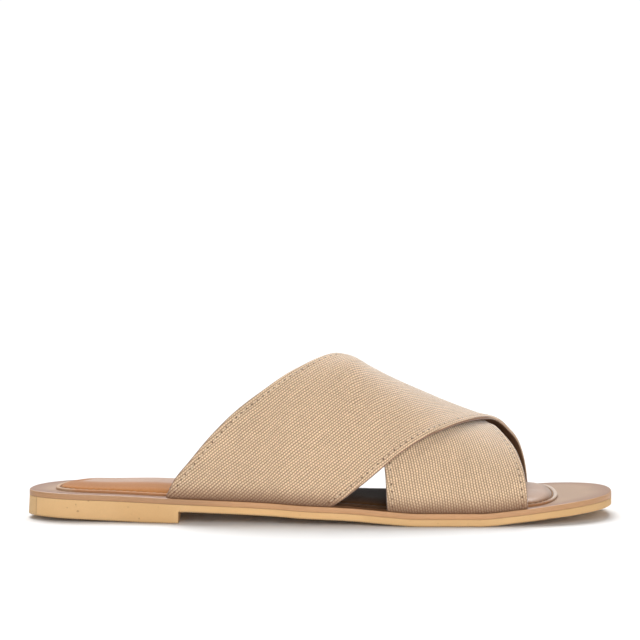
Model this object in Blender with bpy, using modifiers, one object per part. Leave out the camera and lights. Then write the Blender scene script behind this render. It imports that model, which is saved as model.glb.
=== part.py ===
"""Slip-on sandal for the right foot: two crossed straps on a flat layered sole with a low heel.

Metres, +Z up, toe along +X, outer side of the foot at -Y. Stations run along the sole from 0 at
the back of the heel. The tables give lengths in millimetres and shares of a whole as 0 to 1.
"""

import math
from collections import namedtuple

import bmesh
import bpy
from mathutils import Vector

MM = 0.001
OUTER = -1
INNER = 1

# Driving dimensions: the sole
SOLE_LENGTH = 256 * MM
RUBBER_THICKNESS = 3.2 * MM
MIDSOLE_THICKNESS = 2.6 * MM
LAYER_GAP = 0.3 * MM
HEEL_BREAST = 66 * MM  # station of the heel block's front face
BREAST_DRAFT = 0.4 * MM  # how far that face leans forward at its top
HEEL_FLAT = 14 * MM  # length of the heel's flat spot behind the breast
HEEL_SPRING = 2.0 * MM  # rise of the heel's underside at the very back
HEEL_CURVE = 1.15  # how late that rise comes
HEEL_ROUND = {OUTER: 26 * MM, INNER: 28 * MM}
HEEL_POWER = {OUTER: 2.2, INNER: 2.0}
HEEL_SHIFT = -7 * MM  # the rearmost point lies this far to the outer side
BALL_START = 170 * MM  # the forefoot's flat spot
BALL_END = 196 * MM
TOE_ROUND = 55 * MM
TOE_POWER = 2.4
TIP_SHIFT = 5 * MM  # the tip lies this far to the inner side of the heel's middle

# Driving dimensions: the padded insole
PAD_START = 11.5 * MM
PAD_END = 232 * MM
PAD_INSET = 6.5 * MM
PAD_HEEL_ROUND = {OUTER: 18 * MM, INNER: 22 * MM}
PAD_TOE_ROUND = 14 * MM
PAD_POWER = 2.3
PAD_RIM = 2.8 * MM  # width of rim and groove, which follow the outline
PAD_SPINE_INSET = 17 * MM  # how far the ends of the pad's ridge lie inside its outline
PAD_CROWN = 3.1 * MM

# Driving dimensions: the straps
STRAP_WALL = 2.0 * MM
STRAP_INSET = 1.5 * MM  # from the midsole's edge to a strap's outer face
CROSSING_LIFT = 1.3 * MM  # the over strap rides this far above the under strap's inner face
LIFT_FADE = 26 * MM  # length over which it comes back down past the crossing
FOOT_FADE = 0.12  # share of the way round in which the lift starts at a foot
INSTEP_LEAN = 4 * MM  # the instep's ridge lies this far to the inner side
STRAP_AROUND = 46
STRAP_ACROSS = 15

# How finely the forms are cut
SOLE_STATIONS = 48
STATION_ROOM = 2 * MM  # least distance of a spread station from a fixed one
PAD_STATIONS = 36
WELD = 0.001 * MM
SHARP_ANGLE = math.radians(35)

SoleRow = namedtuple("SoleRow", "station outer inner bed")
RidgeRow = namedtuple("RidgeRow", "station height")
StrapRow = namedtuple("StrapRow", "share over_rear over_front under_rear under_front")
PadRow = namedtuple("PadRow", "inset height")

# Reach of the sole to each side before its ends are rounded, and height of the rubber's top
SOLE_ROWS = (
    SoleRow(0, 23.0, 27.0, 10.1),
    SoleRow(35, 25.0, 29.0, 9.2),
    SoleRow(66, 29.5, 28.0, 8.2),
    SoleRow(105, 31.5, 25.5, 6.6),
    SoleRow(120, 34.5, 25.5, 5.8),
    SoleRow(140, 36.0, 28.5, 5.0),
    SoleRow(155, 38.5, 34.0, 4.0),
    SoleRow(170, 40.5, 40.5, 3.2),
    SoleRow(196, 40.5, 47.0, 3.2),
    SoleRow(212, 38.5, 48.0, 4.4),
    SoleRow(230, 36.5, 48.0, 6.1),
    SoleRow(256, 34.0, 48.0, 8.3),
)

# Height of the instep's ridge above the floor, under the straps
RIDGE_ROWS = (
    RidgeRow(50, 68.0),
    RidgeRow(100, 68.5),
    RidgeRow(125, 68.3),
    RidgeRow(140, 67.0),
    RidgeRow(148, 62.8),
    RidgeRow(157, 58.0),
    RidgeRow(170, 52.0),
    RidgeRow(184, 45.9),
    RidgeRow(200, 40.0),
    RidgeRow(222, 34.0),
)

# Stations of each strap's two edges, from its rear foot at 0 over the ridge at 0.5 to its front foot
STRAP_ROWS = (
    StrapRow(0.00, 61.0, 133.0, 68.0, 131.0),
    StrapRow(0.04, 64.5, 143.0, 72.0, 141.0),
    StrapRow(0.09, 71.5, 152.0, 79.5, 150.0),
    StrapRow(0.15, 80.0, 160.5, 88.0, 159.0),
    StrapRow(0.22, 91.0, 170.5, 98.5, 169.0),
    StrapRow(0.30, 105.0, 182.0, 111.0, 180.5),
    StrapRow(0.40, 121.0, 193.5, 125.0, 192.0),
    StrapRow(0.50, 135.0, 202.5, 136.5, 199.5),
    StrapRow(0.60, 143.0, 209.5, 143.5, 205.0),
    StrapRow(0.75, 151.0, 216.5, 151.0, 212.5),
    StrapRow(0.90, 156.0, 220.0, 156.0, 215.5),
    StrapRow(1.00, 157.0, 221.0, 157.0, 216.0),
)

# The pad's top from its edge inwards: flat rim, sewn groove, then the cushion
PAD_ROWS = (
    PadRow(0.0, 0.8),
    PadRow(0.3, 1.1),
    PadRow(1.5, 1.1),
    PadRow(2.1, 0.7),
    PadRow(2.8, 1.2),
    PadRow(4.6, 1.7),
    PadRow(8.0, 2.3),
    PadRow(13.0, 2.8),
)

RUBBER_COLOUR = (0.73, 0.45, 0.21, 1.0)
MIDSOLE_COLOUR = (0.48, 0.27, 0.15, 1.0)
PAD_COLOUR = (0.50, 0.26, 0.12, 1.0)
CANVAS_COLOUR = (0.62, 0.45, 0.30, 1.0)
RUBBER_ROUGHNESS = 0.7
MIDSOLE_ROUGHNESS = 0.55
PAD_ROUGHNESS = 0.4
CANVAS_ROUGHNESS = 0.9


def smooth_column(rows, column, at):
    """A column's value at a place in its first column, on a smooth curve that never overshoots."""
    places = [row[0] for row in rows]
    values = [getattr(row, column) for row in rows]
    last = len(rows) - 1
    at = min(max(at, places[0]), places[last])
    steps = [places[i + 1] - places[i] for i in range(last)]
    slopes = [(values[i + 1] - values[i]) / steps[i] for i in range(last)]

    def tangent(i):
        if i == 0:
            return slopes[0]
        if i == last:
            return slopes[-1]
        before, after = slopes[i - 1], slopes[i]
        return 0.0 if before * after <= 0.0 else 2.0 * before * after / (before + after)

    i = next(k for k in range(last) if at <= places[k + 1])
    t = (at - places[i]) / steps[i]
    start = values[i] * (1 + 2 * t) * (1 - t) ** 2 + tangent(i) * steps[i] * t * (1 - t) ** 2
    end = values[i + 1] * t * t * (3 - 2 * t) - tangent(i + 1) * steps[i] * t * t * (1 - t)
    return start + end


def ease(share):
    share = min(max(share, 0.0), 1.0)
    return share * share * (3.0 - 2.0 * share)


def end_round(share, power):
    """Width of a rounded end, as a share of the full width, at a share of the end's length."""
    return (1.0 - (1.0 - min(max(share, 0.0), 1.0)) ** power) ** (1.0 / power)


def reach(station, side):
    column = "outer" if side == OUTER else "inner"
    return side * smooth_column(SOLE_ROWS, column, station / MM) * MM


def sole_edge(station, side):
    heel = end_round(station / HEEL_ROUND[side], HEEL_POWER[side])
    toe = end_round((SOLE_LENGTH - station) / TOE_ROUND, TOE_POWER)
    rounded = HEEL_SHIFT + (reach(station, side) - HEEL_SHIFT) * heel
    return TIP_SHIFT + (rounded - TIP_SHIFT) * toe


def pad_edge(station, side):
    heel = end_round((station - PAD_START) / PAD_HEEL_ROUND[side], PAD_POWER)
    toe = end_round((PAD_END - station) / PAD_TOE_ROUND, PAD_POWER)
    rounded = HEEL_SHIFT + (reach(station, side) - side * PAD_INSET - HEEL_SHIFT) * heel
    return TIP_SHIFT + (rounded - TIP_SHIFT) * toe


def bed(station):
    """Top of the rubber, where the midsole lies."""
    return smooth_column(SOLE_ROWS, "bed", station / MM) * MM


def outsole_top(station):
    return bed(station) - LAYER_GAP


def outsole_bottom(station):
    if station > HEEL_BREAST:
        return bed(station) - RUBBER_THICKNESS
    flat_start = HEEL_BREAST - HEEL_FLAT
    return HEEL_SPRING * max(0.0, 1.0 - station / flat_start) ** HEEL_CURVE


def midsole_top(station):
    return bed(station) + MIDSOLE_THICKNESS


def pad_bottom(station):
    return midsole_top(station) + LAYER_GAP


def spread(first, last, count):
    """Stations that lie closer together towards both ends, where the outline turns."""
    span = last - first
    return [first + span * (1.0 - math.cos(math.pi * i / count)) / 2.0 for i in range(count + 1)]


def ring(stations, point):
    """A closed loop: the outer side from heel to toe, then the inner side back."""
    loop = [point(station, OUTER) for station in stations]
    return loop + [point(station, INNER) for station in reversed(stations[1:-1])]


def loft(rings):
    """Faces between one ring and the next. Points that coincide, as on a spine, are welded."""
    mesh = bmesh.new()
    loops = [[mesh.verts.new(point) for point in points] for points in rings]
    for lower, upper in zip(loops, loops[1:]):
        for i in range(len(lower)):
            k = (i + 1) % len(lower)
            mesh.faces.new((lower[i], lower[k], upper[k], upper[i]))
    bmesh.ops.remove_doubles(mesh, verts=mesh.verts, dist=WELD)
    bmesh.ops.dissolve_degenerate(mesh, edges=mesh.edges, dist=WELD)
    bmesh.ops.recalc_face_normals(mesh, faces=mesh.faces)
    return mesh


def slab(stations, edge, bottom, top):
    """A sheet with a plan outline and upright sides between two heights along the sole."""

    def middle(station):
        return (edge(station, OUTER) + edge(station, INNER)) / 2.0

    return loft(
        [
            ring(stations, lambda x, side: Vector((x, middle(x), bottom(x)))),
            ring(stations, lambda x, side: Vector((x, edge(x, side), bottom(x)))),
            ring(stations, lambda x, side: Vector((x, edge(x, side), top(x)))),
            ring(stations, lambda x, side: Vector((x, middle(x), top(x)))),
        ]
    )


def outsole():
    """Rubber sole and heel block, moulded in one."""
    breast = (HEEL_BREAST, HEEL_BREAST + BREAST_DRAFT)
    flat_start = HEEL_BREAST - HEEL_FLAT
    fixed = [*breast, flat_start, BALL_START, BALL_END]
    stations = [
        station
        for station in spread(0.0, SOLE_LENGTH, SOLE_STATIONS)
        if all(abs(station - place) > STATION_ROOM for place in fixed)
    ]
    return slab(sorted(stations + fixed), sole_edge, outsole_bottom, outsole_top)


def midsole():
    return slab(spread(0.0, SOLE_LENGTH, SOLE_STATIONS), sole_edge, bed, midsole_top)


def insole_pad():
    """Padded insole: a stitched rim with a cushion that rises to a long low ridge."""
    stations = spread(PAD_START, PAD_END, PAD_STATIONS)

    def spine_point(station, side):
        along = min(max(station, PAD_START + PAD_SPINE_INSET), PAD_END - PAD_SPINE_INSET)
        return Vector((along, (pad_edge(along, OUTER) + pad_edge(along, INNER)) / 2.0, 0.0))

    outline = ring(stations, lambda x, side: Vector((x, pad_edge(x, side), 0.0)))
    spine = ring(stations, spine_point)

    def ridge(height):
        return [Vector((point.x, point.y, pad_bottom(point.x) + height)) for point in spine]

    def contour(inset, height):
        points = []
        for i, edge in enumerate(outline):
            along = outline[(i + 1) % len(outline)] - outline[i - 1]
            inward = Vector((-along.y, along.x, 0.0)).normalized()
            point = edge + inward * min(inset, PAD_RIM)
            point += (spine[i] - point).normalized() * max(inset - PAD_RIM, 0.0)
            point.z = pad_bottom(point.x) + height
            points.append(point)
        return points

    rows = [contour(row.inset * MM, row.height * MM) for row in PAD_ROWS]
    return loft([ridge(0.0), contour(0.0, 0.0), *rows, ridge(PAD_CROWN)])


def last_point(station, share):
    """The foot's form under the straps: share runs from the outer foot over the ridge to the inner."""
    inset = STRAP_INSET + STRAP_WALL
    feet = {side: sole_edge(station, side) - side * inset for side in (OUTER, INNER)}
    ridge = (feet[OUTER] + feet[INNER]) / 2.0 + INSTEP_LEAN
    height = smooth_column(RIDGE_ROWS, "height", station / MM) * MM
    floor = midsole_top(station) + LAYER_GAP
    angle = math.pi * share
    foot = feet[OUTER] if share < 0.5 else feet[INNER]
    across = ridge + (foot - ridge) * abs(math.cos(angle))
    return Vector((station, across, floor + (height - floor) * math.sin(angle)))


def last_normal(station, share):
    """Outward direction of the foot's form, by small steps along it and round it."""
    step = 0.5 * MM
    turn = 0.002
    along = last_point(station + step, share) - last_point(station - step, share)
    low = max(share - turn, 0.0)
    high = min(share + turn, 1.0)
    around = last_point(station, high) - last_point(station, low)
    return along.cross(around).normalized()


def strap_edge(share, edge):
    return smooth_column(STRAP_ROWS, edge, share) * MM


def crossing_lift(station, share):
    """Height of the over strap above the foot's form: full on the under strap, none at its feet."""
    before = strap_edge(1.0 - share, "under_rear") - station
    beyond = station - strap_edge(1.0 - share, "under_front")
    outside = max(before, beyond, 0.0)
    from_foot = min(share, 1.0 - share) / FOOT_FADE
    return CROSSING_LIFT * (1.0 - ease(outside / LIFT_FADE)) * ease(from_foot)


def strap(over):
    """One strap's inner face. The over strap's rear foot is outside, the under strap's inside."""
    mesh = bmesh.new()
    bmesh.ops.create_grid(mesh, x_segments=STRAP_ACROSS, y_segments=STRAP_AROUND, size=0.5)
    for vert in mesh.verts:
        along = vert.co.x + 0.5
        share = vert.co.y + 0.5
        way = share if over else 1.0 - share
        rear = strap_edge(way, "over_rear" if over else "under_rear")
        front = strap_edge(way, "over_front" if over else "under_front")
        station = rear + (front - rear) * along
        vert.co = last_point(station, share)
        if over:
            vert.co += last_normal(station, share) * crossing_lift(station, share)
    return mesh


def material(name, colour, roughness):
    made = bpy.data.materials.new(name)
    made.use_nodes = True
    shader = made.node_tree.nodes["Principled BSDF"]
    shader.inputs["Base Color"].default_value = colour
    shader.inputs["Roughness"].default_value = roughness
    shader.inputs["Metallic"].default_value = 0.0
    return made


def collection(name):
    made = bpy.data.collections.new(name)
    bpy.context.scene.collection.children.link(made)
    return made


def place(name, solid, home, frame, finish):
    """A named object from a mesh in stations, hung on the sandal's own frame."""
    mesh = bpy.data.meshes.new(name)
    solid.to_mesh(mesh)
    solid.free()
    mesh.materials.append(finish)
    mesh.shade_smooth()
    mesh.set_sharp_from_angle(angle=SHARP_ANGLE)
    made = bpy.data.objects.new(name, mesh)
    home.objects.link(made)
    made.parent = frame
    return made


def thicken(sheet):
    shell = sheet.modifiers.new("wall", "SOLIDIFY")
    shell.thickness = STRAP_WALL
    shell.offset = 1.0
    shell.use_quality_normals = True


def sole_middle():
    """Y halfway between the sole's two widest places."""
    stations = spread(0.0, SOLE_LENGTH, SOLE_STATIONS)
    outer = min(sole_edge(station, OUTER) for station in stations)
    inner = max(sole_edge(station, INNER) for station in stations)
    return (outer + inner) / 2.0


def main():
    for old in list(bpy.data.objects):
        bpy.data.objects.remove(old, do_unlink=True)
    parts = collection("crossed_strap_sandal")
    joiners = collection("joiners")
    frame = bpy.data.objects.new("sandal_frame", None)
    parts.objects.link(frame)
    frame.location = (-SOLE_LENGTH / 2.0, -sole_middle(), 0.0)

    rubber = material("crepe_rubber", RUBBER_COLOUR, RUBBER_ROUGHNESS)
    edge_leather = material("midsole_leather", MIDSOLE_COLOUR, MIDSOLE_ROUGHNESS)
    pad_leather = material("pad_leather", PAD_COLOUR, PAD_ROUGHNESS)
    canvas = material("strap_canvas", CANVAS_COLOUR, CANVAS_ROUGHNESS)

    place("outsole", outsole(), parts, frame, rubber)
    place("midsole", midsole(), parts, frame, edge_leather)
    place("insole_pad", insole_pad(), parts, frame, pad_leather)

    under = place("under_strap", strap(over=False), joiners, frame, canvas)
    thicken(under)
    under.hide_render = True
    under.display_type = "WIRE"
    upper = place("upper", strap(over=True), parts, frame, canvas)
    thicken(upper)
    join = upper.modifiers.new("crossing", "BOOLEAN")
    join.operation = "UNION"
    join.object = under


main()
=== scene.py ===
import math

import bmesh
import bpy
import numpy as np
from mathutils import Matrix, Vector


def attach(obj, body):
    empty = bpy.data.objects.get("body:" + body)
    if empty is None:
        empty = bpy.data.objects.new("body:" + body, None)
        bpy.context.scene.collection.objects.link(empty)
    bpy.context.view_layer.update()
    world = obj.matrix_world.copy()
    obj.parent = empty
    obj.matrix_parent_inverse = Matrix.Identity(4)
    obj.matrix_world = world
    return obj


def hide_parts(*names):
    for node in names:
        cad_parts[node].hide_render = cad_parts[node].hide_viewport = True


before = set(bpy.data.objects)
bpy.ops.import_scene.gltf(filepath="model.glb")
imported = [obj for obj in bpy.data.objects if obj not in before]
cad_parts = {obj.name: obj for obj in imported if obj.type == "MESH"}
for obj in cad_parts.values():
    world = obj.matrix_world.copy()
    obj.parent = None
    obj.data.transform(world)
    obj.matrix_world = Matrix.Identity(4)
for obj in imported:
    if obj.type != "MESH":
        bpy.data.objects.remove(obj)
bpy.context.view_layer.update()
mm = 0.001
outerSide, innerSide = -1, 1
print("frame loaded:", ", ".join(sorted(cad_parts)))


# Curves that every piece shares. Lengths are in millimetres until a mesh is made.

def curveThrough(places, values):
    places, values = np.array(places, float), np.array(values, float)
    steps = np.diff(places)
    slopes = np.diff(values) / steps
    before, after = slopes[:-1], slopes[1:]
    total = np.where(before * after > 0, before + after, 1.0)
    inside = np.where(before * after > 0, 2 * before * after / total, 0.0)  # never overshoots
    tangents = np.concatenate([slopes[:1], inside, slopes[-1:]])

    def at(place):
        place = np.clip(place, places[0], places[-1])
        i = np.clip(np.searchsorted(places, place) - 1, 0, len(steps) - 1)
        t = (place - places[i]) / steps[i]
        start = values[i] * (1 + 2 * t) * (1 - t) ** 2 + tangents[i] * steps[i] * t * (1 - t) ** 2
        end = values[i + 1] * t * t * (3 - 2 * t) - tangents[i + 1] * steps[i] * t * t * (1 - t)
        return start + end

    return at


def ease(share):
    share = np.clip(share, 0.0, 1.0)
    return share * share * (3 - 2 * share)


def endRound(share, power):
    return (1 - (1 - np.clip(share, 0.0, 1.0)) ** power) ** (1 / power)


def spread(first, last, count):  # closer together towards both ends
    return first + (last - first) * (1 - np.cos(np.pi * np.arange(count + 1) / count)) / 2


def unit(vectors):
    return vectors / np.maximum(np.linalg.norm(vectors, axis=-1, keepdims=True), 1e-12)


def lengthAlong(line):  # how far each point lies along a line of points
    return np.concatenate([[0], np.cumsum(np.linalg.norm(np.diff(line, axis=0), axis=1))])


# The sole's form: plan outline, bed height, heel and toe

sole = {
    "length": 256.0,
    "rubber": 3.2,
    "midsole": 2.6,
    "layerGap": 0.3,
    "jointRise": 0.3,  # the rubber swells up to meet the midsole
    "breast": 66.0,
    "breastDraft": 0.4,
    "heelFlat": 14.0,
    "heelSpring": 2.0,
    "heelCurve": 1.15,
    "heelRound": {outerSide: 26.0, innerSide: 28.0},
    "heelPower": {outerSide: 2.2, innerSide: 2.0},
    "heelShift": -7.0,
    "toeRound": 55.0,
    "toePower": 2.4,
    "tipShift": 5.0,
}
soleStations = (0, 35, 66, 105, 120, 140, 155, 170, 196, 212, 230, 256)
outerReach = curveThrough(soleStations, (23, 25, 29.5, 31.5, 34.5, 36, 38.5, 40.5, 40.5, 38.5, 36.5, 34))
innerReach = curveThrough(soleStations, (27, 29, 28, 25.5, 25.5, 28.5, 34, 40.5, 47, 48, 48, 48))
bedHeight = curveThrough(soleStations, (10.1, 9.2, 8.2, 6.6, 5.8, 5, 4, 3.2, 3.2, 4.4, 6.1, 8.3))


def reach(station, side):
    return -outerReach(station) if side == outerSide else innerReach(station)


def soleEdge(station, side):
    heel = endRound(station / sole["heelRound"][side], sole["heelPower"][side])
    toe = endRound((sole["length"] - station) / sole["toeRound"], sole["toePower"])
    rounded = sole["heelShift"] + (reach(station, side) - sole["heelShift"]) * heel
    return sole["tipShift"] + (rounded - sole["tipShift"]) * toe


def rubberTop(station):
    return bedHeight(station) - sole["layerGap"] + sole["jointRise"]


def rubberBottom(station):
    flatStart = sole["breast"] - sole["heelFlat"]
    heel = sole["heelSpring"] * np.maximum(0, 1 - station / flatStart) ** sole["heelCurve"]
    return np.where(station > sole["breast"], bedHeight(station) - sole["rubber"], heel)


def midsoleTop(station):
    return bedHeight(station) + sole["midsole"]


planStations = spread(0.0, sole["length"], 48)
soleMiddle = (soleEdge(planStations, outerSide).min() + soleEdge(planStations, innerSide).max()) / 2
origin = np.array((sole["length"] / 2, soleMiddle, 0.0))


# Meshes

def planLoop(stations, edge):  # the outer side from heel to toe, then the inner side back
    outerLine = np.stack([stations, edge(stations, outerSide)], axis=1)
    innerLine = np.stack([stations, edge(stations, innerSide)], axis=1)
    return np.concatenate([outerLine, innerLine[-2:0:-1]])


def inwards(loop):
    along = np.roll(loop, -1, axis=0) - np.roll(loop, 1, axis=0)
    return unit(np.stack([-along[:, 1], along[:, 0]], axis=1))


def gridFaces(rows, count, closed):
    places = np.arange(count if closed else count - 1)
    row, place = np.meshgrid(np.arange(rows - 1), places, indexing="ij")
    beside = (place + 1) % count
    lower, upper = row * count, (row + 1) * count
    faces = np.stack([lower + place, lower + beside, upper + beside, upper + place], axis=-1)
    return faces.reshape(-1, 4).tolist()


def capFaces(first, stations, up):  # strips from the outer side of a plan loop to its inner side
    count = 2 * stations - 2
    faces = []
    for i in range(stations - 1):
        strip = [i, i + 1, (count - i - 1) % count, (count - i) % count]
        strip = [first + p for k, p in enumerate(strip) if p not in strip[:k]]
        faces.append(strip if up else strip[::-1])
    return faces


def spineUnder(loop, edge, start, end):  # where a plan loop's points draw in to
    x = np.clip(loop[:, 0], start, end)
    return np.stack([x, (edge(x, outerSide) + edge(x, innerSide)) / 2], axis=1)


def makePiece(name, points, faces, finish, sharp=None, marks=None, weld=None):
    mesh = bpy.data.meshes.new(name)
    mesh.from_pydata(((np.asarray(points) - origin) * mm).tolist(), [], faces)
    for mark, values in (marks or {}).items():
        layer = mesh.attributes.new(mark, "FLOAT_VECTOR", "POINT")
        layer.data.foreach_set("vector", np.asarray(values, np.float32).ravel())
    if weld:
        solid = bmesh.new()
        solid.from_mesh(mesh)
        bmesh.ops.remove_doubles(solid, verts=solid.verts, dist=weld * mm)
        bmesh.ops.dissolve_degenerate(solid, edges=solid.edges, dist=weld * mm)
        solid.to_mesh(mesh)
        solid.free()
    mesh.materials.append(finish)
    mesh.shade_smooth()
    if sharp:
        mesh.set_sharp_from_angle(angle=math.radians(sharp))
    piece = bpy.data.objects.new(name, mesh)
    bpy.context.scene.collection.objects.link(piece)
    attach(piece, "root")
    print(f"{name}: {len(mesh.polygons)} faces")
    return piece


# Shader maths as Python expressions

class Wire:
    def __init__(self, tree, socket=None):
        self.tree = tree
        self.socket = socket

    def node(self, kind, settings=None, sockets=None, output=0):
        made = self.tree.nodes.new("ShaderNode" + kind)
        for name, value in (settings or {}).items():
            setattr(made, name, value)
        for name, value in (sockets or {}).items():
            if isinstance(value, Wire):
                self.tree.links.new(value.socket, made.inputs[name])
            else:
                made.inputs[name].default_value = value
        return Wire(self.tree, made.outputs[output])

    def out(self, output):
        return Wire(self.tree, self.socket.node.outputs[output])

    def math(self, operation, *values):
        return self.node("Math", {"operation": operation}, dict(enumerate(values)))

    def __add__(self, other):
        return self.math("ADD", self, other)

    def __sub__(self, other):
        return self.math("SUBTRACT", self, other)

    def __rsub__(self, other):
        return self.math("SUBTRACT", other, self)

    def __mul__(self, other):
        return self.math("MULTIPLY", self, other)

    def __truediv__(self, other):
        return self.math("DIVIDE", self, other)

    def __pow__(self, other):
        return self.math("POWER", self, other)

    __radd__ = __add__
    __rmul__ = __mul__

    def fract(self):
        return self.math("FRACT", self)

    def floor(self):
        return self.math("FLOOR", self)

    def sin(self):
        return self.math("SINE", self)

    def sign(self):
        return self.math("SIGN", self)

    def most(self, other):
        return self.math("MAXIMUM", self, other)

    def step(self, low, high):  # 0 at low, 1 at high, soft in between
        ends = {"Value": self, "From Min": low, "From Max": high}
        return self.node("MapRange", {"interpolation_type": "SMOOTHSTEP"}, ends)

    def blend(self, first, second):  # this mask picks from the first colour to the second
        return self.node("Mix", {"data_type": "RGBA"}, {0: self, 6: first, 7: second}, 2)

    def shade(self, amount):  # a colour made darker or lighter by a value
        settings = {"data_type": "RGBA", "blend_type": "MULTIPLY"}
        return self.node("Mix", settings, {0: 1.0, 6: self, 7: amount}, 2)

    def vector(self, operation, other):
        return self.node("VectorMath", {"operation": operation}, {0: self, 1: other})

    def noise(self, scale, detail=2.0, rough=0.5):
        sockets = {"Vector": self, "Scale": scale, "Detail": detail, "Roughness": rough}
        return self.node("TexNoise", None, sockets, "Fac")

    def noise1(self, scale):
        sockets = {"W": self, "Scale": scale, "Detail": 1.0}
        return self.node("TexNoise", {"noise_dimensions": "1D"}, sockets, "Fac")

    def mark(self, name):
        settings = {"attribute_name": name, "attribute_type": "GEOMETRY"}
        return self.node("Attribute", settings, None, "Vector")

    def parts(self):
        split = self.node("SeparateXYZ", None, {0: self}, "X")
        return split, split.out("Y"), split.out("Z")

    def place(self):  # millimetres in the sandal's frame
        return self.node("TexCoord", None, None, "Object").vector("MULTIPLY", (1000, 1000, 1000))

    def bump(self, depth):
        return self.node("Bump", None, {"Height": self, "Strength": 1.0, "Distance": depth * mm})


def stationAt(place):  # distance from the heel's end
    return place.parts()[0] + float(origin[0])


def toneAlong(station, base, *changes):  # each change sets in between its start and its end
    tone = base
    for start, end, change in changes:
        tone = tone + station.step(start, end) * change
    return tone


def makeFinish(name, paint, **fixed):
    finish = bpy.data.materials.new(name)
    finish.use_nodes = True
    tree = finish.node_tree
    shader = tree.nodes["Principled BSDF"]
    for socket, value in fixed.items():
        shader.inputs[socket.replace("_", " ")].default_value = value
    for socket, wire in paint(Wire(tree)).items():
        tree.links.new(wire.socket, shader.inputs[socket])
    return finish


# Crepe rubber sole with its heel in one

rubber = {
    "ribPitch": 1.05,
    "ribDepth": 0.45,
    "ribStart": (1.0, 3.0),  # station, fade
    "ribEnd": (225.0, 12.0),
    "ribGap": (67.0, 1.6),  # none by the heel's front face: middle, reach
    "ribHeight": 0.5,  # rings lower than this follow the ribs
    "stationStep": 0.175,
    "tipSteps": 0.02 * np.arange(5) ** 2,
    "breastClear": 0.08,
    "profile": (  # inset, side that the height counts from, height
        (1.6, "bottom", 0.0), (0.7, "bottom", 0.0), (0.07, "bottom", 0.05), (0.0, "bottom", 0.16),
        (0.0, "bottom", 0.6), (0.0, "top", -0.14), (0.04, "top", -0.04), (0.5, "top", 0.0),
        (1.4, "top", 0.0),
    ),
    "flare": 0.35,  # the heel's rear foot stands out by this much
    "flareFade": 40.0,
    "joinAt": 3.8,  # the strip around the heel meets here
    "tone": (0.94, (55, 105, 0.19), (130, 200, -0.12), (205, 245, -0.11)),  # painted light and shade along the length: lightest under the arch
    "deep": (0.693, 0.4225, 0.1865, 1),
    "pale": (0.738, 0.4645, 0.2165, 1),
    "speck": (0.33, 0.175, 0.07, 1),
    "groove": (0.10, 0.055, 0.025, 1),
    "behindJoin": (0.50, 0.34, 0.17, 1),
}


def paintRubber(w):
    place = w.place()
    cloud = place.noise(0.035, 3.0)
    crumb = place.noise(1.1, 4.0, 0.6)
    grit = place.noise(0.55, 1.0).step(0.70, 0.76)
    colour = cloud.step(0.35, 0.7).blend(rubber["deep"], rubber["pale"])
    station, above, below = w.mark("sideAt").parts()
    # the tone along the length is painted light and shade
    colour = colour.shade(0.93 + crumb * 0.14).shade(toneAlong(station, *rubber["tone"]))
    colour = (grit * 0.6).blend(colour, rubber["speck"])
    colour = (below.step(0.14, 0.0) * 0.05).blend(colour, rubber["speck"])
    # painted shade in the grooves between the ribs along the bottom edge
    groove = (station * (2 * math.pi / rubber["ribPitch"]) - math.pi / 2).sin()
    teeth = groove.step(-0.3, 0.6) * above.step(0.9, 0.3) * station.step(230, 215)
    colour = (teeth * 0.75).blend(colour, rubber["groove"])
    onSide = below.step(0.0, 0.12)
    join = station - rubber["joinAt"]
    joined = (join * join).step(0.07, 0.0) * onSide
    colour = (joined * 0.55).blend(colour, rubber["speck"])
    # painted shade: the rear face behind the join is painted darker and greyer
    colour = (join.step(0.1, -0.1) * onSide * 0.35).blend(colour, rubber["behindJoin"])
    height = crumb * 0.6 + place.noise(3.2, 2.0) * 0.3 - grit * 0.5 - joined
    return {
        "Base Color": colour,
        "Roughness": 0.62 + crumb * 0.2,
        "Normal": height.bump(0.16),
    }


def buildRubber():
    step = rubber["stationStep"]
    breast = np.array((sole["breast"], sole["breast"] + sole["breastDraft"]))
    tip = rubber["tipSteps"]
    middle = np.arange(0.5, sole["length"] - 0.5, step)
    middle = middle[np.abs(middle[:, None] - breast).min(axis=1) > rubber["breastClear"]]
    stations = np.sort(np.concatenate([tip, middle, breast, sole["length"] - tip]))
    loop = planLoop(stations, soleEdge)
    inward = inwards(loop)
    x = loop[:, 0]
    ribs = rubber["ribDepth"] * (0.5 - 0.5 * np.cos(2 * np.pi * x / rubber["ribPitch"]))
    start, end, gap = rubber["ribStart"], rubber["ribEnd"], rubber["ribGap"]
    ribs *= ease((x - start[0]) / start[1]) * (1 - ease((x - end[0]) / end[1]))
    ribs *= np.where(np.abs(x - gap[0]) < gap[1], 0, 1)
    low, high = rubberBottom(x), rubberTop(x)
    rings, marks = [], []
    flare = rubber["flare"] * (1 - ease(x / rubber["flareFade"]))
    for inset, side, height in rubber["profile"]:
        atBottom = side == "bottom"
        plan = loop + inward * (inset - flare * atBottom)[:, None]
        z = (low if atBottom else high) + height
        if atBottom and height < rubber["ribHeight"]:
            z = z + ribs
        rings.append(np.column_stack([plan, z]))
        marks.append(np.column_stack([x, z - low, high - z]))
    faces = gridFaces(len(rings), len(loop), True)
    faces += capFaces(0, len(stations), False)
    faces += capFaces((len(rings) - 1) * len(loop), len(stations), True)
    finish = makeFinish("crepeRubber", paintRubber)
    marks = {"sideAt": np.concatenate(marks)}
    piece = makePiece("rubberSole", np.concatenate(rings), faces, finish, 38, marks)
    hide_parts("outsole")


buildRubber()


# Leather midsole

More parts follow.
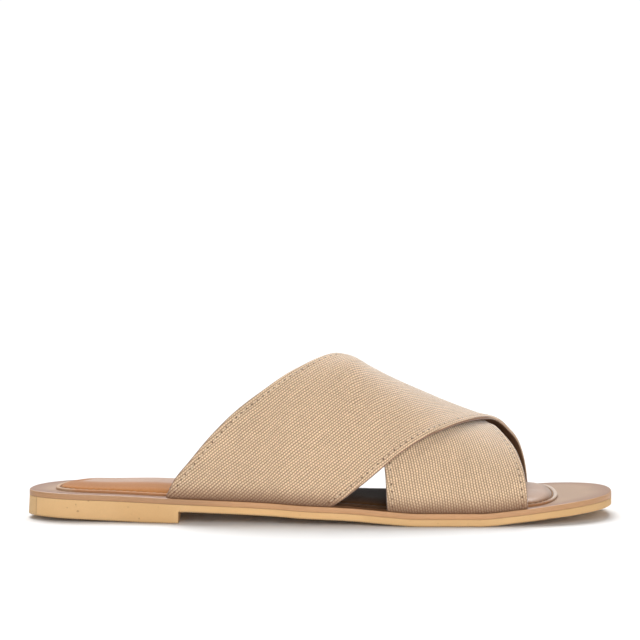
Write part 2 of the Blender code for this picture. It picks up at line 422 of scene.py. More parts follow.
midsole = {
    "stations": 420,
    "profile": (  # inset, side that the height counts from, height
        (1.2, "bottom", -0.27), (0.3, "bottom", -0.27), (0.05, "bottom", -0.22), (0.0, "bottom", -0.05),
        (0.0, "bottom", 0.9), (0.0, "top", -0.6), (0.1, "top", -0.22), (0.4, "top", -0.03),
        (0.9, "top", 0.0), (2.0, "top", 0.0), (5.0, "deck", 0.0), (8.0, "deck", 0.0), (12.0, "deck", 0.0),
    ),
    "spineInset": 24.0,  # the deck's rings draw in towards a line this far from both ends
    "sideLightTone": (0.85, (55, 105, 0.38), (180, 245, -0.22)),  # painted light and shade along the length: darkest at the heel
    "deckEdgeShade": (0.9, (150, 220, -0.2)),  # painted shade: the deck is darker along its edge, weaker towards the toe
    "deckEdgeShadeWidth": (12.0, 1.0),
    "top": (0.30, 0.165, 0.08, 1),
    "topEdge": (0.21, 0.07, 0.014, 1),
    "side": (0.515, 0.28, 0.13, 1),
    "streak": (0.455, 0.235, 0.106, 1),
    "burnish": (0.20, 0.085, 0.04, 1),
}


def paintMidsole(w):
    place = w.place()
    station, inset, level = w.mark("sideAt").parts()
    onSide = inset.step(0.5, 0.1)
    cloud = place.noise(0.05, 3.0)
    fibre = place.vector("MULTIPLY", (0.25, 0.25, 2.6)).noise(0.9, 4.0, 0.6)
    pores = place.noise(2.4, 3.0, 0.55)
    sideColour = fibre.step(0.35, 0.75).blend(midsole["streak"], midsole["side"])
    sideColour = sideColour.shade(toneAlong(station, *midsole["sideLightTone"]))
    topColour = (cloud * 0.35).blend(midsole["top"], midsole["side"])
    # painted shade along the deck's edge
    deckEdgeShade = inset.step(*midsole["deckEdgeShadeWidth"]) * toneAlong(station, *midsole["deckEdgeShade"])
    topColour = deckEdgeShade.blend(topColour, midsole["topEdge"])
    colour = onSide.blend(topColour, sideColour)
    rim = level.step(0.12, 0.0).most(level.step(0.93, 1.0) * onSide)
    colour = (rim * 0.1).blend(colour, midsole["burnish"]).shade(0.92 + cloud * 0.16)
    height = pores * 0.6 + fibre * onSide * 0.7
    return {
        "Base Color": colour,
        "Roughness": 0.42 + pores * 0.14,
        "Normal": height.bump(0.07),
    }


def buildMidsole():
    stations = spread(0.0, sole["length"], midsole["stations"])
    loop = planLoop(stations, soleEdge)
    inward = inwards(loop)
    x = loop[:, 0]
    low, high = bedHeight(x) + sole["jointRise"], midsoleTop(x)
    rings, marks = [], []
    spine = spineUnder(loop, soleEdge, midsole["spineInset"], sole["length"] - midsole["spineInset"])
    for inset, side, height in midsole["profile"]:
        plan = loop + (unit(spine - loop) if side == "deck" else inward) * inset
        z = (low if side == "bottom" else midsoleTop(plan[:, 0])) + height
        rings.append(np.column_stack([plan, z]))
        marks.append(np.column_stack([x, np.full(len(x), inset), (z - low) / (high - low)]))
    faces = gridFaces(len(rings), len(loop), True)
    faces += capFaces(0, len(stations), False)
    faces += capFaces((len(rings) - 1) * len(loop), len(stations), True)
    finish = makeFinish("midsoleLeather", paintMidsole, Coat_Weight=0.08, Coat_Roughness=0.35)
    marks = {"sideAt": np.concatenate(marks)}
    piece = makePiece("leatherMidsole", np.concatenate(rings), faces, finish, 40, marks)
    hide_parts("midsole")


buildMidsole()


# Thread: each stitch rises from one needle hole and goes down in the next

thread = {
    "radius": 0.2,
    "sides": 6,
    "rings": 7,
}


def makeStitches(name, starts, ends, normals, finish, sink=0.25, rise=0.1):
    share = np.linspace(0, 1, thread["rings"])
    angle = 2 * np.pi * np.arange(thread["sides"]) / thread["sides"]
    points, faces = [], []
    for start, end, normal in zip(starts, ends, normals):
        along = unit(end - start)
        side = np.cross(along, normal)
        arch = -sink + (sink + rise) * np.sin(np.pi * share) ** 0.6
        middle = start + (end - start) * share[:, None] + normal * arch[:, None]
        width = thread["radius"] * (0.6 + 0.4 * np.sin(np.pi * share))
        turn = np.cos(angle)[:, None] * side + np.sin(angle)[:, None] * normal
        ring = middle[:, None, :] + width[:, None, None] * turn[None, :, :]
        first = len(points) * thread["rings"] * thread["sides"]
        points.append(ring.reshape(-1, 3))
        quads = np.array(gridFaces(thread["rings"], thread["sides"], True)) + first
        faces += quads[:, ::-1].tolist()
        last = first + (thread["rings"] - 1) * thread["sides"]
        faces.append([first + i for i in range(thread["sides"])])
        faces.append([last + i for i in reversed(range(thread["sides"]))])
    return makePiece(name, np.concatenate(points), faces, finish)


# where the straps' painted shade goes: 0 away from them, 1 under them
def underStraps(place):
    station = stationAt(place)
    return station.step(*pad["coveredRear"]) * station.step(*pad["coveredFront"])


def paintThread(colour, strapShade=0.0):  # how much darker the thread is painted under the straps, as painted shade
    def paint(w):
        place = w.place()
        twist = place.noise(2.6, 2.0)
        base = (twist * 0.5).blend(colour, tuple(c * 0.55 for c in colour[:3]) + (1,))
        if strapShade:
            base = base.shade(1 - underStraps(place) * strapShade)
        return {"Base Color": base, "Normal": twist.bump(0.1)}

    return paint


# Padded insole: flat rim, sewn groove, cushion

pad = {
    "start": 11.5,
    "end": 232.0,
    "inset": 6.5,
    "heelRound": {outerSide: 18.0, innerSide: 22.0},
    "toeRound": 14.0,
    "power": 2.3,
    "rim": 2.8,
    "spineInset": 17.0,
    "crown": 2.92,
    "stations": 260,
    "profile": (  # inset from the outline, height
        (0.0, 0.3), (0.0, 0.5), (0.08, 0.64), (0.3, 0.76), (0.7, 0.82), (1.15, 0.82), (1.5, 0.75),
        (1.8, 0.6), (2.1, 0.52), (2.4, 0.76), (2.8, 1.14), (3.3, 1.40), (3.9, 1.57), (4.6, 1.73),
        (5.5, 1.92), (6.6, 2.11), (8.0, 2.31), (10.2, 2.57), (13.0, 2.80),
    ),
    "crownRings": (0.2, 0.4, 0.6, 0.8, 1.0),  # shares of the way from there to the spine
    "crownReach": 15.0,
    "underneath": ((0.6, -0.27), (0.12, -0.27)),  # inset, height
    "unevenness": 0.05,
    "arch": (  # station, share added to the height
        (11.5, 30, 58, 75, 112, 140, 232),
        (0, 0, 0.36, 0.36, 0.05, 0, 0),
    ),
    "seamInset": 2.1,
    "seamHeight": 0.58,
    "stitchPitch": 3.0,
    "stitchLength": 2.3,
    "coveredRear": (105, 137),  # stations where the straps' shade begins and is full
    "coveredFront": (205, 185),
    "coveredShade": 0.84,
    "toeFrom": (212, 221),
    "paleHeel": (23, 16),  # the rim is painted paler at both ends, as painted light
    "paleToe": (225, 230),
    "flank": (7.0, 2.6),  # inset; the flank gets painted light and shade
    "polished": (20.0, 9.0),
    "leather": (0.38, 0.152, 0.044, 1),
    "worn": (0.415, 0.176, 0.056, 1),
    "toePaleReflection": (0.44, 0.26, 0.16, 1),
    "pore": (0.28, 0.105, 0.03, 1),
    "groove": (0.10, 0.04, 0.018, 1),
    "rimLeather": (0.55, 0.39, 0.27, 1),
    "rimEdge": (0.50, 0.33, 0.21, 1),
    "rimSide": (0.60, 0.30, 0.145, 1),  # the rim is painted browner along the sides than at the ends, as painted shade
    "rimSideEdge": (0.45, 0.22, 0.11, 1),
    "thread": (0.45, 0.27, 0.14, 1),
}


def padEdge(station, side):
    heel = endRound((station - pad["start"]) / pad["heelRound"][side], pad["power"])
    toe = endRound((pad["end"] - station) / pad["toeRound"], pad["power"])
    rounded = sole["heelShift"] + (reach(station, side) - side * pad["inset"] - sole["heelShift"]) * heel
    return sole["tipShift"] + (rounded - sole["tipShift"]) * toe


def paintPad(w):
    place = w.place()
    inset, along, _ = w.mark("padAt").parts()
    cloud = place.noise(0.03, 2.0)
    grain = place.noise(1.5, 4.0, 0.62)
    pores = place.noise(3.4, 2.0).step(0.52, 0.66)
    colour = cloud.step(0.35, 0.7).blend(pad["leather"], pad["worn"])
    colour = (pores * 0.35).blend(colour, pad["pore"])
    flank = inset.step(*pad["flank"])
    station = stationAt(place)
    atToe = station.step(*pad["toeFrom"])
    # painted reflection: the toe end of the pad is painted paler and greyer
    colour = (atToe * 0.6).blend(colour, pad["toePaleReflection"])
    # painted light and shade on the flank: lighter towards the heel, darker at the toe
    colour = colour.shade(1 + flank * (0.22 - atToe * 0.55))
    # painted light and shade on the rim: paler at the ends, browner along the sides and darker at the toe's
    # sides
    atEnd = station.step(*pad["paleHeel"]).most(station.step(*pad["paleToe"]))
    rim = inset.step(1.75, 1.35)
    colour = (rim * 0.9).blend(colour, atEnd.blend(pad["rimSide"], pad["rimLeather"]))
    colour = colour.shade(1 - atToe * rim * (1 - atEnd) * 0.45)
    # painted shade in the sewn groove
    uneven = along.noise1(0.35) * 0.8 + 0.35
    grooved = inset.step(1.5, 1.95) * inset.step(2.9, 2.3)
    colour = (grooved * uneven * (0.35 + atToe.most(atEnd) * 0.65)).blend(colour, pad["groove"])
    # painted shadow line along the foot of the rim
    colour = (inset.step(0.4, 0.05) * 0.8).blend(colour, atEnd.blend(pad["rimSideEdge"], pad["rimEdge"]))
    sewn = inset.step(*pad["polished"])
    covered = underStraps(place)
    colour = colour.shade(1 - covered * pad["coveredShade"])
    dull = (sewn * station.step(222, 205)).most(covered)
    dull = dull.most(flank * station.step(231, 219)).most(grooved)
    pucker = (along * (2 * math.pi / pad["stitchPitch"])).sin()
    pucker = pucker * inset.step(2.5, 3.2) * inset.step(7.5, 3.2)
    height = grain * 0.5 - pores * 0.2 + pucker * 0.5
    return {
        "Base Color": colour,
        "Roughness": 0.38 + grain * 0.10 + dull * 0.2,
        "Coat Weight": 0.9 - dull * 0.9,
        "Normal": height.bump(0.09),
    }


def buildPad():
    stations = spread(pad["start"], pad["end"], pad["stations"])
    loop = planLoop(stations, padEdge)
    inward = inwards(loop)
    spine = spineUnder(loop, padEdge, pad["start"] + pad["spineInset"], pad["end"] - pad["spineInset"])
    along = lengthAlong(loop)

    def contour(inset):
        plan = loop + inward * min(inset, pad["rim"])
        return plan + unit(spine - plan) * max(inset - pad["rim"], 0.0)

    rings, marks = [], []
    arch = curveThrough(*pad["arch"])

    def addRing(plan, height, inset):
        waves = np.sin(plan[:, 0] / 13 + 1.3) * np.sin(plan[:, 1] / 9)
        settle = pad["unevenness"] * waves * ease((inset - 4) / 8)
        height = height * (1 + arch(plan[:, 0]) * ease((inset - 2) / 3))
        z = midsoleTop(plan[:, 0]) + sole["layerGap"] + height + settle
        rings.append(np.column_stack([plan, z]))
        marks.append(np.column_stack([np.full(len(plan), inset), along, np.zeros(len(plan))]))

    for inset, height in pad["underneath"]:
        addRing(contour(inset), height, 0.0)
    for inset, height in pad["profile"]:
        addRing(contour(inset), height, inset)
    lastInset, lastHeight = pad["profile"][-1]
    lastPlan = contour(lastInset)
    for share in pad["crownRings"]:  # level towards the spine
        height = pad["crown"] - (pad["crown"] - lastHeight) * (1 - share) ** 2
        addRing(lastPlan + (spine - lastPlan) * share, height, lastInset + pad["crownReach"] * share)
    faces = gridFaces(len(rings), len(loop), True) + capFaces(0, len(stations), False)
    finish = makeFinish(
        "padLeather", paintPad,
        Coat_Roughness=0.36, Specular_IOR_Level=0.1, Sheen_Weight=0.1, Sheen_Roughness=0.35,
    )
    marks = {"padAt": np.concatenate(marks)}
    piece = makePiece("paddedInsole", np.concatenate(rings), faces, finish, 60, marks, weld=0.002)
    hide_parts("insole_pad")

    seam = contour(pad["seamInset"])
    seamAlong = lengthAlong(seam)
    count = int(seamAlong[-1] // pad["stitchPitch"])
    starts = np.arange(count) * pad["stitchPitch"]

    def onSeam(distance):
        x, y = (np.interp(distance, seamAlong, seam[:, i]) for i in (0, 1))
        return np.column_stack([x, y, midsoleTop(x) + sole["layerGap"] + pad["seamHeight"]])

    upright = np.tile((0.0, 0.0, 1.0), (count, 1))
    threadFinish = makeFinish("rimThread", paintThread(pad["thread"], 0.85), Roughness=0.75)
    rows = onSeam(starts), onSeam(starts + pad["stitchLength"])
    stitches = makeStitches("rimStitches", *rows, upright, threadFinish, rise=0.16)


buildPad()


# Crossed canvas straps with a leather lining

strap = {
    "wall": 2.0,
    "inset": 1.5,
    "crossingLift": 1.3,
    "liftFade": 26.0,
    "footFade": 0.12,
    "instepLean": 4.0,
    "footDrop": 0.3,  # how far a foot goes down into the sole's top
    "footTuck": 0.9,
    "tuckHeight": 6.0,
    "pressed": 0.95,  # how much thinner the under strap is where the other lies on it
    "pressFade": 9.0,
    "edgeRound": 0.8,
    "hemOut": 0.6,  # the turned hem rolls a little past the cut line
    "edgeLift": 0.7,  # the over strap's edges stand off the strap under them
    "edgeFade": 9.0,
    "canvasBottom": 0.45,
    "liningTop": 0.6,
    "liningInset": -0.35,
    "rows": 190,
    "across": 64,
    "settle": 25,
    "flatSteps": (5, 4),
    "flatRounds": 250,
    "yarnTurn": {"over": 3.5, "under": -5.0},
    "turns": 6,
    "stitchInset": 1.95,
    "stitchPitch": 3.0,
    "stitchGap": 0.25,  # from a needle hole's middle to the thread
    "stitchClear": 2.0,  # no stitch nearer to the sole than this
    "outerHalf": (5, -3),
    "rearFoot": (130, 75),
    "soleShadeHeight": (10.0, 0.3),
    "warpPitch": 1.11,
    "weftPitch": 0.575,
    "yarn": (0.89, 0.655, 0.44, 1),
    "weft": (0.68, 0.47, 0.295, 1),
    "gap": (0.26, 0.15, 0.08, 1),
    "hem": (0.62, 0.44, 0.29, 1),
    "turnedUnder": (0.40, 0.27, 0.175, 1),
    "hole": (0.13, 0.068, 0.035, 1),
    # the colour of the painted shade at the feet and under the rolled edge
    "foot": (0.22, 0.10, 0.05, 1),
    "thread": (0.80, 0.62, 0.44, 1),
    "lining": (0.10, 0.05, 0.024, 1),
    "liningWorn": (0.16, 0.085, 0.042, 1),
}
ridgeHeight = curveThrough(
    (50, 100, 125, 140, 148, 157, 170, 184, 200, 222), (68, 68.5, 68.3, 67, 62.8, 58, 52, 45.9, 40, 34)
)
strapShares = (0, 0.04, 0.09, 0.15, 0.22, 0.3, 0.4, 0.5, 0.6, 0.75, 0.9, 1)
edgeStations = {
    "overRear": (61, 64.5, 71.5, 80, 91, 105, 119.8, 133.4, 142, 151.6, 157.6, 158.6),
    "overFront": (131.2, 141.4, 150.7, 159.7, 170.1, 182.1, 193.8, 202.7, 209.5, 216.5, 220, 221),
    "underRear": (68, 72, 79.5, 88, 98.5, 111, 125, 136.5, 143.5, 151, 156, 157),
    "underFront": (131, 141, 150, 159, 169, 180.5, 192, 199.5, 205, 212.5, 215.5, 216),
}
strapEdges = {edge: curveThrough(strapShares, stations) for edge, stations in edgeStations.items()}


def lastPoint(station, share):  # the foot's form under the straps, from outer foot over the ridge to inner
    angle = np.pi * share
    floor = midsoleTop(station) - strap["footDrop"]
    z = floor + (ridgeHeight(station) - floor) * np.sin(angle)
    tuck = strap["footTuck"] * np.clip(1 - (z - floor) / strap["tuckHeight"], 0, 1) ** 2
    inset = strap["inset"] + strap["wall"] + tuck
    outerFoot = soleEdge(station, outerSide) + inset
    innerFoot = soleEdge(station, innerSide) - inset
    ridge = (outerFoot + innerFoot) / 2 + strap["instepLean"]
    foot = np.where(share < 0.5, outerFoot, innerFoot)
    y = ridge + (foot - ridge) * np.abs(np.cos(angle))
    return np.stack(np.broadcast_arrays(station, y, z), axis=-1)


def lastNormal(station, share):
    step, turn = 0.5, 0.002
    along = lastPoint(station + step, share) - lastPoint(station - step, share)
    ahead, behind = np.minimum(share + turn, 1), np.maximum(share - turn, 0)
    around = lastPoint(station, ahead) - lastPoint(station, behind)
    return unit(np.cross(along, around))


def crossing(name, way, station, fade):  # 1 where the named strap lies, 0 away from it and at the feet
    before = strapEdges[name + "Rear"](way) - station
    beyond = station - strapEdges[name + "Front"](way)
    outside = np.maximum(np.maximum(before, beyond), 0)
    fromFoot = ease(np.minimum(way, 1 - way) / strap["footFade"])
    return (1 - ease(outside / fade)) * fromFoot


def strapSheet(over):  # the inner face's points and normals, rows from rear foot to front foot
    way = (1 - np.cos(np.pi * np.linspace(0, 1, strap["rows"] + 1))) / 2
    way = 0.35 * way + 0.65 * np.linspace(0, 1, strap["rows"] + 1)
    way = way[:, None]
    name = "over" if over else "under"
    rear, front = strapEdges[name + "Rear"](way), strapEdges[name + "Front"](way)
    across = np.linspace(0, 1, strap["across"] + 1)[None, :]
    station = rear + (front - rear) * across
    share = np.broadcast_to(way if over else 1 - way, station.shape)
    points = lastPoint(station, share)
    normals = lastNormal(station, share)
    if over:
        fromEdge = np.minimum(station - rear, front - station)
        height = strap["crossingLift"] + strap["edgeLift"] * (1 - ease(fromEdge / strap["edgeFade"]))
        lift = height * crossing("under", 1 - share, station, strap["liftFade"])
        points = points + normals * lift[..., None]
    return points, normals, station, share


def settled(values):  # evened out along the strap
    window = np.hanning(strap["settle"])
    padded = np.pad(values, strap["settle"] // 2, mode="edge")
    return np.convolve(padded, window / window.sum(), mode="valid")


def runAcross(points):  # length along each row of a sheet
    lengths = np.linalg.norm(np.diff(points, axis=1), axis=2)
    return np.concatenate([np.zeros((len(points), 1)), np.cumsum(lengths, axis=1)], axis=1)


def walkFrom(points, column):  # distance across the strap from one of its long lines, and length along it
    last = points.shape[1] - 1
    line = points[:, column]
    along = unit(np.gradient(line, axis=0))
    ruling = unit(points[:, min(column + 1, last)] - points[:, max(column - 1, 0)])
    cosine = settled(np.einsum("ij,ij->i", along, ruling))[:, None]
    run = runAcross(points)
    run = run - run[:, column:column + 1]
    return run * np.sqrt(1 - cosine ** 2), lengthAlong(line)[:, None] + run * cosine


def laidFlat(points):
    # The sheet as flat cloth: springs between its points pull each length back to its own
    rowStep, acrossStep = strap["flatSteps"]
    coarse = points[::rowStep, ::acrossStep]
    rows, count = coarse.shape[:2]
    number = np.arange(rows * count).reshape(rows, count)
    pairs = np.concatenate([
        np.stack([first.ravel(), second.ravel()], axis=1)
        for first, second in (
            (number[:-1], number[1:]),
            (number[:, :-1], number[:, 1:]),
            (number[:-1, :-1], number[1:, 1:]),
            (number[:-1, 1:], number[1:, :-1]),
        )
    ])
    first, second = pairs.T
    spots = coarse.reshape(-1, 3)
    lengths = np.linalg.norm(spots[first] - spots[second], axis=1)
    stiffness = 1 / lengths
    springs = np.eye(rows * count) * 1e-6
    np.add.at(springs, (first, first), stiffness)
    np.add.at(springs, (second, second), stiffness)
    np.add.at(springs, (first, second), -stiffness)
    np.add.at(springs, (second, first), -stiffness)
    solve = np.linalg.inv(springs)
    across, along = walkFrom(coarse, count // 2)
    flat = (across + 1j * along).ravel()
    for _ in range(strap["flatRounds"]):
        gap = flat[first] - flat[second]
        pull = stiffness * lengths * gap / np.maximum(np.abs(gap), 1e-9)
        force = np.zeros(rows * count, complex)
        np.add.at(force, first, pull)
        np.add.at(force, second, -pull)
        flat = solve @ force
    gap = flat[first] - flat[second]
    print("cloth stretch", np.round(np.percentile(np.abs(gap) / lengths, (1, 50, 99)), 3))
    flat = flat.reshape(rows, count)
    axis = np.angle(flat[-1].mean() - flat[0].mean())
    flat = flat * np.exp(1j * (np.pi / 2 - axis))
    rowPlaces = np.arange(points.shape[0]) / rowStep
    acrossPlaces = np.arange(points.shape[1]) / acrossStep
    flat = np.stack([np.interp(rowPlaces, np.arange(rows), flat[:, i]) for i in range(count)], axis=1)
    return np.stack([np.interp(acrossPlaces, np.arange(count), row) for row in flat])


def paintCanvas(w):
    flat = w.mark("clothAt")
    fromEdge, alongEdge, fromSole = w.mark("seamAt").parts()
    sway = flat.noise(0.09, 2.0)
    x, y, turned = flat.parts()
    across = (x + sway * 1.2) / strap["warpPitch"]
    along = (y + sway * 0.8) / strap["weftPitch"]
    warpRound = 1 - (across.fract() * 2 - 1) ** 2
    weftRound = 1 - (along.fract() * 2 - 1) ** 2
    acrossWave = (across * math.pi).sin()
    alongWave = (along * math.pi).sin()
    warp = warpRound + alongWave * acrossWave.sign() * 0.26
    weft = weftRound * 0.6 - acrossWave * alongWave.sign() * 0.35
    weave = warp.most(weft)
    slub = flat.vector("MULTIPLY", (0.9, 0.05, 1)).noise(1.0, 2.0)
    weftSlub = flat.vector("MULTIPLY", (0.05, 1.4, 1)).noise(1.0, 2.0)
    crossed = w.node("CombineXYZ", None, {0: across.floor(), 1: along.floor(), 2: 0.5})
    knot = w.node("TexWhiteNoise", None, {"Vector": crossed}, "Value")
    fuzz = flat.noise(4.5, 3.0, 0.6)
    patch = flat.noise(0.03, 2.0)
    onTop = (warp - weft).step(-0.25, 0.25)
    yarn = onTop.blend(strap["weft"], strap["yarn"])
    under = turned.step(0.55, 0.85)
    rolled = turned.step(0.15, 0.45)
    place = w.place()
    outer = place.parts()[1].step(*strap["outerHalf"])
    rearFoot = stationAt(place).step(*strap["rearFoot"])
    plain = (fromEdge.step(1.6, 0.6) * 0.15).most(rolled * 0.6)
    colour = weave.step(0.18, 1.15).blend(strap["gap"], yarn)
    colour = plain.blend(colour, strap["hem"])
    colour = (under * 0.85).blend(colour, strap["turnedUnder"])
    # painted shade under the rolled edge, on the outer half only
    colour = (turned.step(0.06, 0.30) * outer * 0.9).blend(colour, strap["foot"])
    tone = 0.66 + slub * 0.32 + weftSlub * 0.14 + patch * 0.06 + fuzz * 0.08 + knot * 0.14
    # painted shade: darker at the rear feet, most near the sole
    colour = colour.shade(tone - rearFoot * (0.05 + fromSole.step(30.0, 5.0) * 0.07))
    beat = ((alongEdge / strap["stitchPitch"]).fract() - 0.5) * strap["stitchPitch"]
    lane = fromEdge - strap["stitchInset"]
    hole = (beat * beat * 0.8 + lane * lane).step(0.24, 0.06)
    shown = alongEdge.noise1(0.21).step(0.3, 0.62) * 0.45 + 0.45
    # the needle holes are painted dark, a painted shade in each hole
    colour = (hole * shown).blend(colour, strap["hole"])
    # painted shade, darker towards the sole where the strap goes into it
    soleShade = fromSole.step(*strap["soleShadeHeight"])
    colour = (soleShade * soleShade * 0.8).blend(colour, strap["foot"])
    sewn = (lane * lane).step(0.6, 0.0)
    height = weave * (1 - plain) + fuzz * 0.15 - sewn * 0.25 - hole * 0.8
    return {
        "Base Color": colour,
        "Roughness": 0.80 + fuzz * 0.15,
        "Normal": height.bump(0.24),
    }


def paintLining(w):
    place = w.place()
    cloud = place.noise(0.06, 3.0)
    grain = place.noise(1.7, 4.0, 0.6)
    colour = cloud.step(0.3, 0.75).blend(strap["lining"], strap["liningWorn"]).shade(0.85 + grain * 0.3)
    return {"Base Color": colour, "Roughness": 0.5 + grain * 0.2, "Normal": grain.bump(0.1)}


canvasFinish = makeFinish("strapCanvas", paintCanvas, Sheen_Weight=0.75, Sheen_Roughness=0.38)
liningFinish = makeFinish("liningLeather", paintLining)
strapThread = makeFinish("strapThread", paintThread(strap["thread"]), Roughness=0.8)


def bandSection(points, normals, distance, low, high, inset):
    # A closed band: outer face, rounded front edge, inner face, rounded rear edge
    count = points.shape[1]
    run = runAcross(points)
    slope = distance[0][:, 1] / run[:, 1], distance[1][:, -2] / (run[:, -1] - run[:, -2])
    trim = tuple((inset + strap["edgeRound"]) / s for s in slope)
    share = np.linspace(0, 1, count)[None, :]
    wanted = trim[0][:, None] + (run[:, -1:] - trim[0][:, None] - trim[1][:, None]) * share
    at = np.stack([np.interp(wanted[i], run[i], np.arange(count)) for i in range(len(points))])
    before = np.minimum(wanted, 0) / run[:, 1:2]
    beyond = np.maximum(wanted - run[:, -1:], 0) / (run[:, -1:] - run[:, -2:-1])
    at = at + (before + beyond)

    def sample(values):
        first = np.clip(np.floor(at).astype(int), 0, count - 2)
        part = at - first
        rows = np.arange(len(points))[:, None]
        if values.ndim == 3:
            part = part[..., None]
        return values[rows, first] * (1 - part) + values[rows, first + 1] * part

    place, normal = sample(points), unit(sample(normals))
    edgeAlong = unit(np.gradient(place[:, 0], axis=0)), unit(np.gradient(place[:, -1], axis=0))
    outward = (
        unit(np.cross(normal[:, 0], edgeAlong[0])),
        unit(np.cross(edgeAlong[1], normal[:, -1])),
    )
    outward = tuple(
        o * np.sign(np.einsum("ij,ij->i", o, place[:, e] - place[:, count // 2]))[:, None]
        for o, e in zip(outward, (0, -1))
    )
    lowGrid = np.broadcast_to(low, place.shape[:2])
    highGrid = np.broadcast_to(high, place.shape[:2])
    half = (highGrid - lowGrid) / 2
    mid = (highGrid + lowGrid) / 2
    angle = np.pi * np.arange(1, strap["turns"]) / strap["turns"]

    def edgeTurn(e, angles):
        bulge = strap["edgeRound"] * np.sin(angles)[None, :, None] * outward[0 if e == 0 else 1][:, None, :]
        lift = mid[:, e][:, None] + half[:, e][:, None] * np.cos(angles)[None, :]
        return place[:, e][:, None, :] + bulge + lift[..., None] * normal[:, e][:, None, :]

    ring = np.concatenate(
        [
            place + normal * highGrid[..., None],
            edgeTurn(-1, angle),
            (place + normal * lowGrid[..., None])[:, ::-1],
            edgeTurn(0, angle[::-1]),
        ],
        axis=1,
    )
    arc = strap["edgeRound"] * angle[None, :, None]

    def spreadMark(values, follow):  # follow: the mark runs on around the edges, as the cloth does
        values = sample(values)
        step = np.linalg.norm(np.diff(place[:, (0, 1, -2, -1)], axis=1), axis=2)[..., None, None]
        rise = values[:, :1] - values[:, 1:2], values[:, -1:] - values[:, -2:-1]
        rear = values[:, :1] + follow * rise[0] / step[:, 0] * arc[:, ::-1]
        front = values[:, -1:] + follow * rise[1] / step[:, 2] * arc
        return np.concatenate([values, front, values[:, ::-1], rear], axis=1)

    turned = np.concatenate([np.zeros(count), angle / np.pi, np.ones(count), angle[::-1] / np.pi])
    return ring, spreadMark, turned


def bandFaces(rows, count):
    faces = [face[::-1] for face in gridFaces(rows, count, True)]
    faces.append(list(range(count)))
    faces.append([(rows - 1) * count + i for i in reversed(range(count))])
    return faces


def buildStrap(over):
    name = "over" if over else "under"
    points, normals, station, share = strapSheet(over)
    rearWalk, frontWalk = walkFrom(points, 0), walkFrom(points, strap["across"])
    frontWalk = -frontWalk[0], frontWalk[1]
    distance = rearWalk[0], frontWalk[0]
    high = np.full(station.shape, strap["wall"])
    if not over:
        high = high - strap["pressed"] * crossing("over", share, station, strap["pressFade"])
    nearRear = rearWalk[0] < frontWalk[0]
    aboveSole = points[..., 2] - midsoleTop(station)
    fromEdge, alongEdge = (np.where(nearRear, rearWalk[i], frontWalk[i]) for i in (0, 1))
    seamMark = np.stack([fromEdge, alongEdge, aboveSole], axis=-1)
    flat = laidFlat(points) * np.exp(1j * np.radians(strap["yarnTurn"][name]))
    clothMark = np.stack([flat.real, flat.imag, np.zeros(station.shape)], axis=-1)
    ring, spreadMark, turned = bandSection(
        points, normals, distance, strap["canvasBottom"], high, -strap["hemOut"]
    )
    clothMark = spreadMark(clothMark, 1)
    clothMark[..., 2] = turned
    marks = {
        "clothAt": clothMark.reshape(-1, 3),
        "seamAt": spreadMark(seamMark, 0).reshape(-1, 3),
    }
    faces = bandFaces(*ring.shape[:2])
    canvas = makePiece(name + "StrapCanvas", ring.reshape(-1, 3), faces, canvasFinish, 50, marks)
    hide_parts("upper")

    ring = bandSection(points, normals, distance, 0.0, strap["liningTop"], strap["liningInset"])[0]
    faces = bandFaces(*ring.shape[:2])
    lining = makePiece(name + "StrapLining", ring.reshape(-1, 3), faces, liningFinish, 50)

    starts, ends, ups = [], [], []
    outerFace = points + normals * high[..., None]
    rows, columns = np.arange(len(points)), np.arange(points.shape[1])
    fromRear, fromFront = slice(None), slice(None, None, -1)
    for order, (away, travel) in ((fromRear, rearWalk), (fromFront, frontWalk)):
        at = np.array([np.interp(strap["stitchInset"], row, columns) for row in away[:, order]])

        def onLane(values):
            first = np.clip(at.astype(int), 0, len(columns) - 2)
            part = at - first
            ordered = values[:, order]
            if values.ndim == 3:
                part = part[:, None]
            return ordered[rows, first] * (1 - part) + ordered[rows, first + 1] * part

        lane, laneUp, laneTravel = onLane(outerFace), onLane(normals), onLane(travel)
        laneFoot = onLane(aboveSole)
        pitch = strap["stitchPitch"]
        first = np.arange(math.ceil(laneTravel[0] / pitch), math.floor(laneTravel[-1] / pitch) - 1)

        def along(values, where):
            return np.column_stack([np.interp(where, laneTravel, values[:, i]) for i in range(3)])

        leaves = (first + 0.5) * pitch + strap["stitchGap"]
        enters = (first + 1.5) * pitch - strap["stitchGap"]
        clear = np.interp(leaves, laneTravel, laneFoot) > strap["stitchClear"]
        clear &= np.interp(enters, laneTravel, laneFoot) > strap["stitchClear"]
        starts.append(along(lane, leaves)[clear])
        ends.append(along(lane, enters)[clear])
        ups.append(unit(along(laneUp, (leaves + enters) / 2))[clear])
    starts, ends, ups = (np.concatenate(part) for part in (starts, ends, ups))
    stitches = makeStitches(name + "StrapStitches", starts, ends, ups, strapThread, sink=0.3, rise=-0.06)


buildStrap(over=False)
buildStrap(over=True)


# Floor, light and camera

studio = {
    "floorSize": 400.0,  # metres, past the horizon
    "floor": (0.93, 0.93, 0.93, 1),
    "floorWorn": (0.9, 0.9, 0.9, 1),
    "horizon": 1.05,
    "sky": 0.15,
    "horizonRise": (0.14, 0.25),
    "keyFrom": (-0.10, 0.58, 0.81),
    "keyAngle": 48.0,
    "keyStrength": 3.4,
    "fillFrom": (0.12, -0.98, 0.16),
    "fillAngle": 80.0,
    "fillStrength": 2.4,
}


def paintFloor(w):
    grain = w.place().noise(0.02, 2.0)
    return {"Base Color": (grain * 0.2).blend(studio["floor"], studio["floorWorn"])}


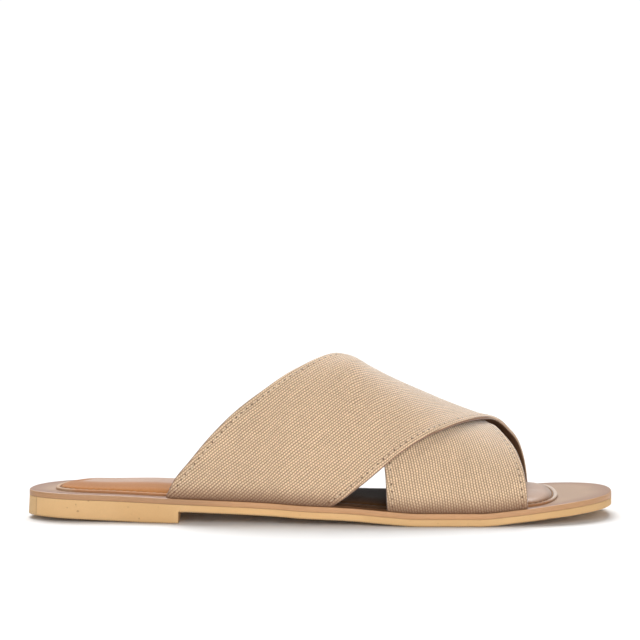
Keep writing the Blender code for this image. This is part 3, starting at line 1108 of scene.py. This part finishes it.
def makeStudio():
    mesh = bpy.data.meshes.new("studioFloor")
    half = studio["floorSize"] / 2
    corners = [(-half, -half, 0), (half, -half, 0), (half, half, 0), (-half, half, 0)]
    mesh.from_pydata(corners, [], [(0, 1, 2, 3)])
    mesh.materials.append(makeFinish("studioFloor", paintFloor, Roughness=0.9, Specular_IOR_Level=0.1))
    floor = bpy.data.objects.new("studioFloor", mesh)
    bpy.context.scene.collection.objects.link(floor)
    world = bpy.data.worlds.new("studioSky")
    world.use_nodes = True
    sky = Wire(world.node_tree)
    rise = sky.node("TexCoord", None, None, "Generated").parts()[2]
    light = studio["sky"] + rise.step(*studio["horizonRise"][::-1]) * (studio["horizon"] - studio["sky"])
    world.node_tree.links.new(light.socket, world.node_tree.nodes["Background"].inputs["Color"])
    bpy.context.scene.world = world
    for name in ("key", "fill"):
        light = bpy.data.lights.new(name + "Light", "SUN")
        light.angle = math.radians(studio[name + "Angle"])
        light.energy = studio[name + "Strength"]
        lamp = bpy.data.objects.new(name + "Light", light)
        lamp.rotation_euler = Vector(studio[name + "From"]).to_track_quat("Z", "Y").to_euler()
        bpy.context.scene.collection.objects.link(lamp)


camera = {
    "elevation": 6.5,
    "distance": 1.4,
    "target": (0.0, 0.0, 0.030),
    "focalPixels": 3167.1,
    "targetPixel": (321.5, 446.0),
    "picture": 640.0,
    "sensor": 36.0,
}


def makeCamera():
    lens = bpy.data.cameras.new("photoCamera")
    lens.sensor_width = camera["sensor"]
    lens.lens = camera["focalPixels"] / camera["picture"] * camera["sensor"]
    lens.clip_start, lens.clip_end = 0.05, 50
    rise = math.radians(camera["elevation"])
    eye = bpy.data.objects.new("photoCamera", lens)
    target = Vector(camera["target"])
    eye.location = target + camera["distance"] * Vector((0, -math.cos(rise), math.sin(rise)))
    across = camera["targetPixel"][0] - camera["picture"] / 2
    down = camera["targetPixel"][1] - camera["picture"] / 2
    pitch = math.pi / 2 - rise + math.atan(down / camera["focalPixels"])
    eye.rotation_euler = (pitch, 0, math.atan(across / camera["focalPixels"]))
    bpy.context.scene.collection.objects.link(eye)
    bpy.context.scene.camera = eye


makeStudio()
makeCamera()
bpy.context.scene.view_settings.view_transform = "Standard"

print("scene ready")
